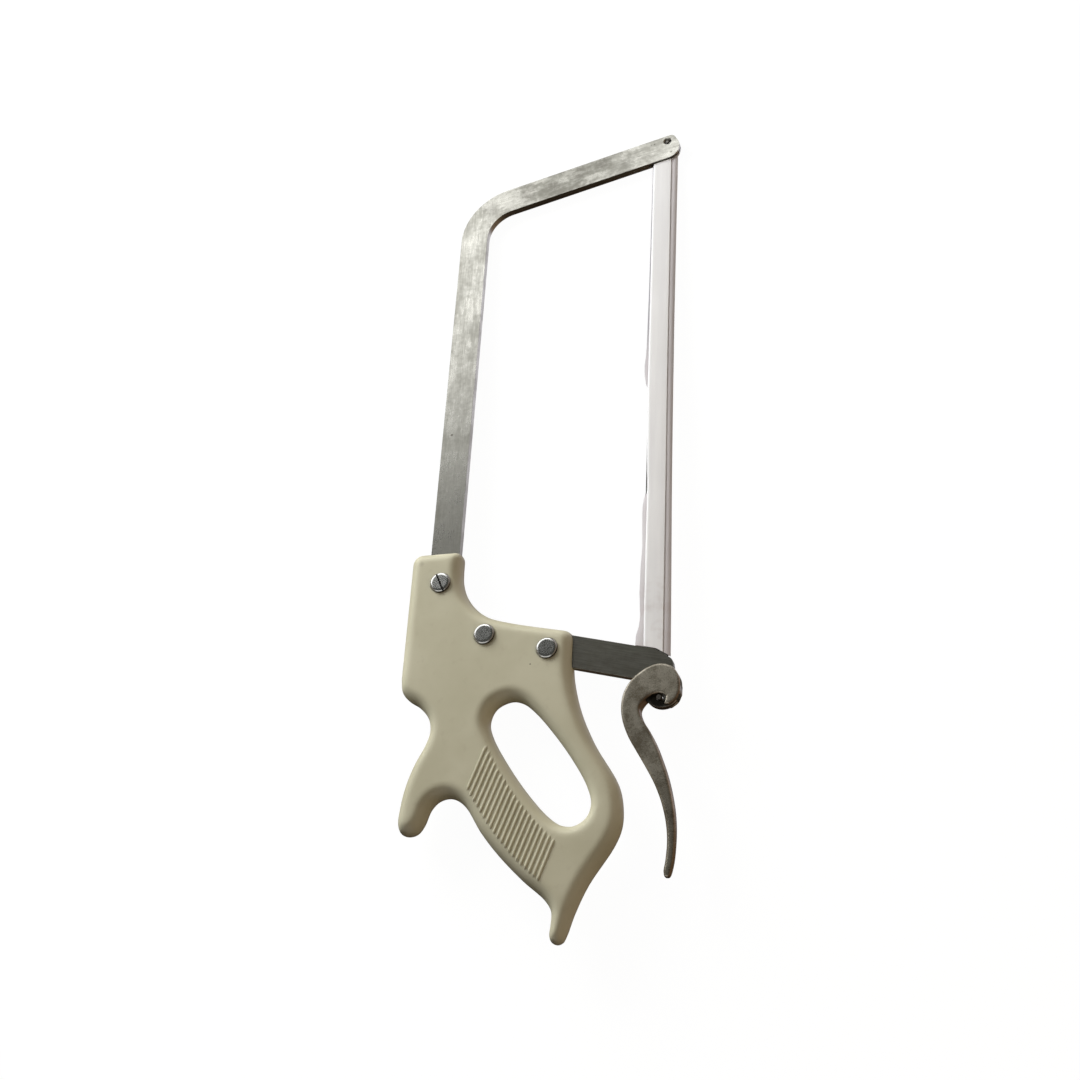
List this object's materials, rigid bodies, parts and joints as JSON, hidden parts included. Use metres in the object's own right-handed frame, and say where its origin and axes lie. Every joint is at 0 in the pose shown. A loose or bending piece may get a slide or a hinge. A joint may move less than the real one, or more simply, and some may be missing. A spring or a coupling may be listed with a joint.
{
  "type": "bone saw",
  "caption": "Butcher's bone saw: flat steel bow frame, moulded two-shell handle with grip loop, cam lever that tensions a paper-sleeved blade.",
  "frame": {"origin": "under the middle of the saw's outline, on the plane that the heads on the back of the handle rest on", "axes": "+X from the spine to the blade, +Y from the handle to the tip, +Z through the thickness, towards the front"},
  "size_m": [0.1726, 0.552, 0.0203],
  "materials": {
    "frame_steel": "ground flat steel, cloudy, rolled edges",
    "handle_plastic": "satin moulded cream plastic, fine grain",
    "plated_screws": "nickel plated, bright chamfers, dulled faces",
    "lever_casting": "tumbled steel casting, dull grey brown",
    "blade_steel": "polished strip steel",
    "sleeve_paper": "thin white wrapping paper"
  },
  "bodies": {
    "root": {"frame_bar": "frame_steel", "handle_front_half": "handle_plastic", "handle_back_half": "handle_plastic", "handle_screw_top": "plated_screws", "handle_screw_middle": "plated_screws", "handle_screw_arm": "plated_screws", "barrel_nut_top": "plated_screws", "barrel_nut_middle": "plated_screws", "barrel_nut_arm": "plated_screws"},
    "tension_lever": {"tension_lever": "lever_casting"},
    "blade": {"blade": "blade_steel", "blade_tip_pin": "blade_steel", "blade_heel_pin": "blade_steel", "sleeve_under": "sleeve_paper", "sleeve_over": "sleeve_paper"}
  },
  "joints": [
    {"name": "lever_open", "type": "hinge", "parent": "root", "child": "tension_lever", "pos_m": [0.0755, -0.13265, 0.01015], "axis": [0, 0, 1], "range_deg": [0, 90]},
    {"name": "blade_swing", "type": "hinge", "parent": "root", "child": "blade", "pos_m": [0.0714, 0.27085, 0.01015], "axis": [0, 0, 1], "range_deg": [0, 0.9]}
  ],
  "couplings": [
    {"joint": "blade_swing", "follows": "lever_open", "ratio": 0.0098}
  ]
}
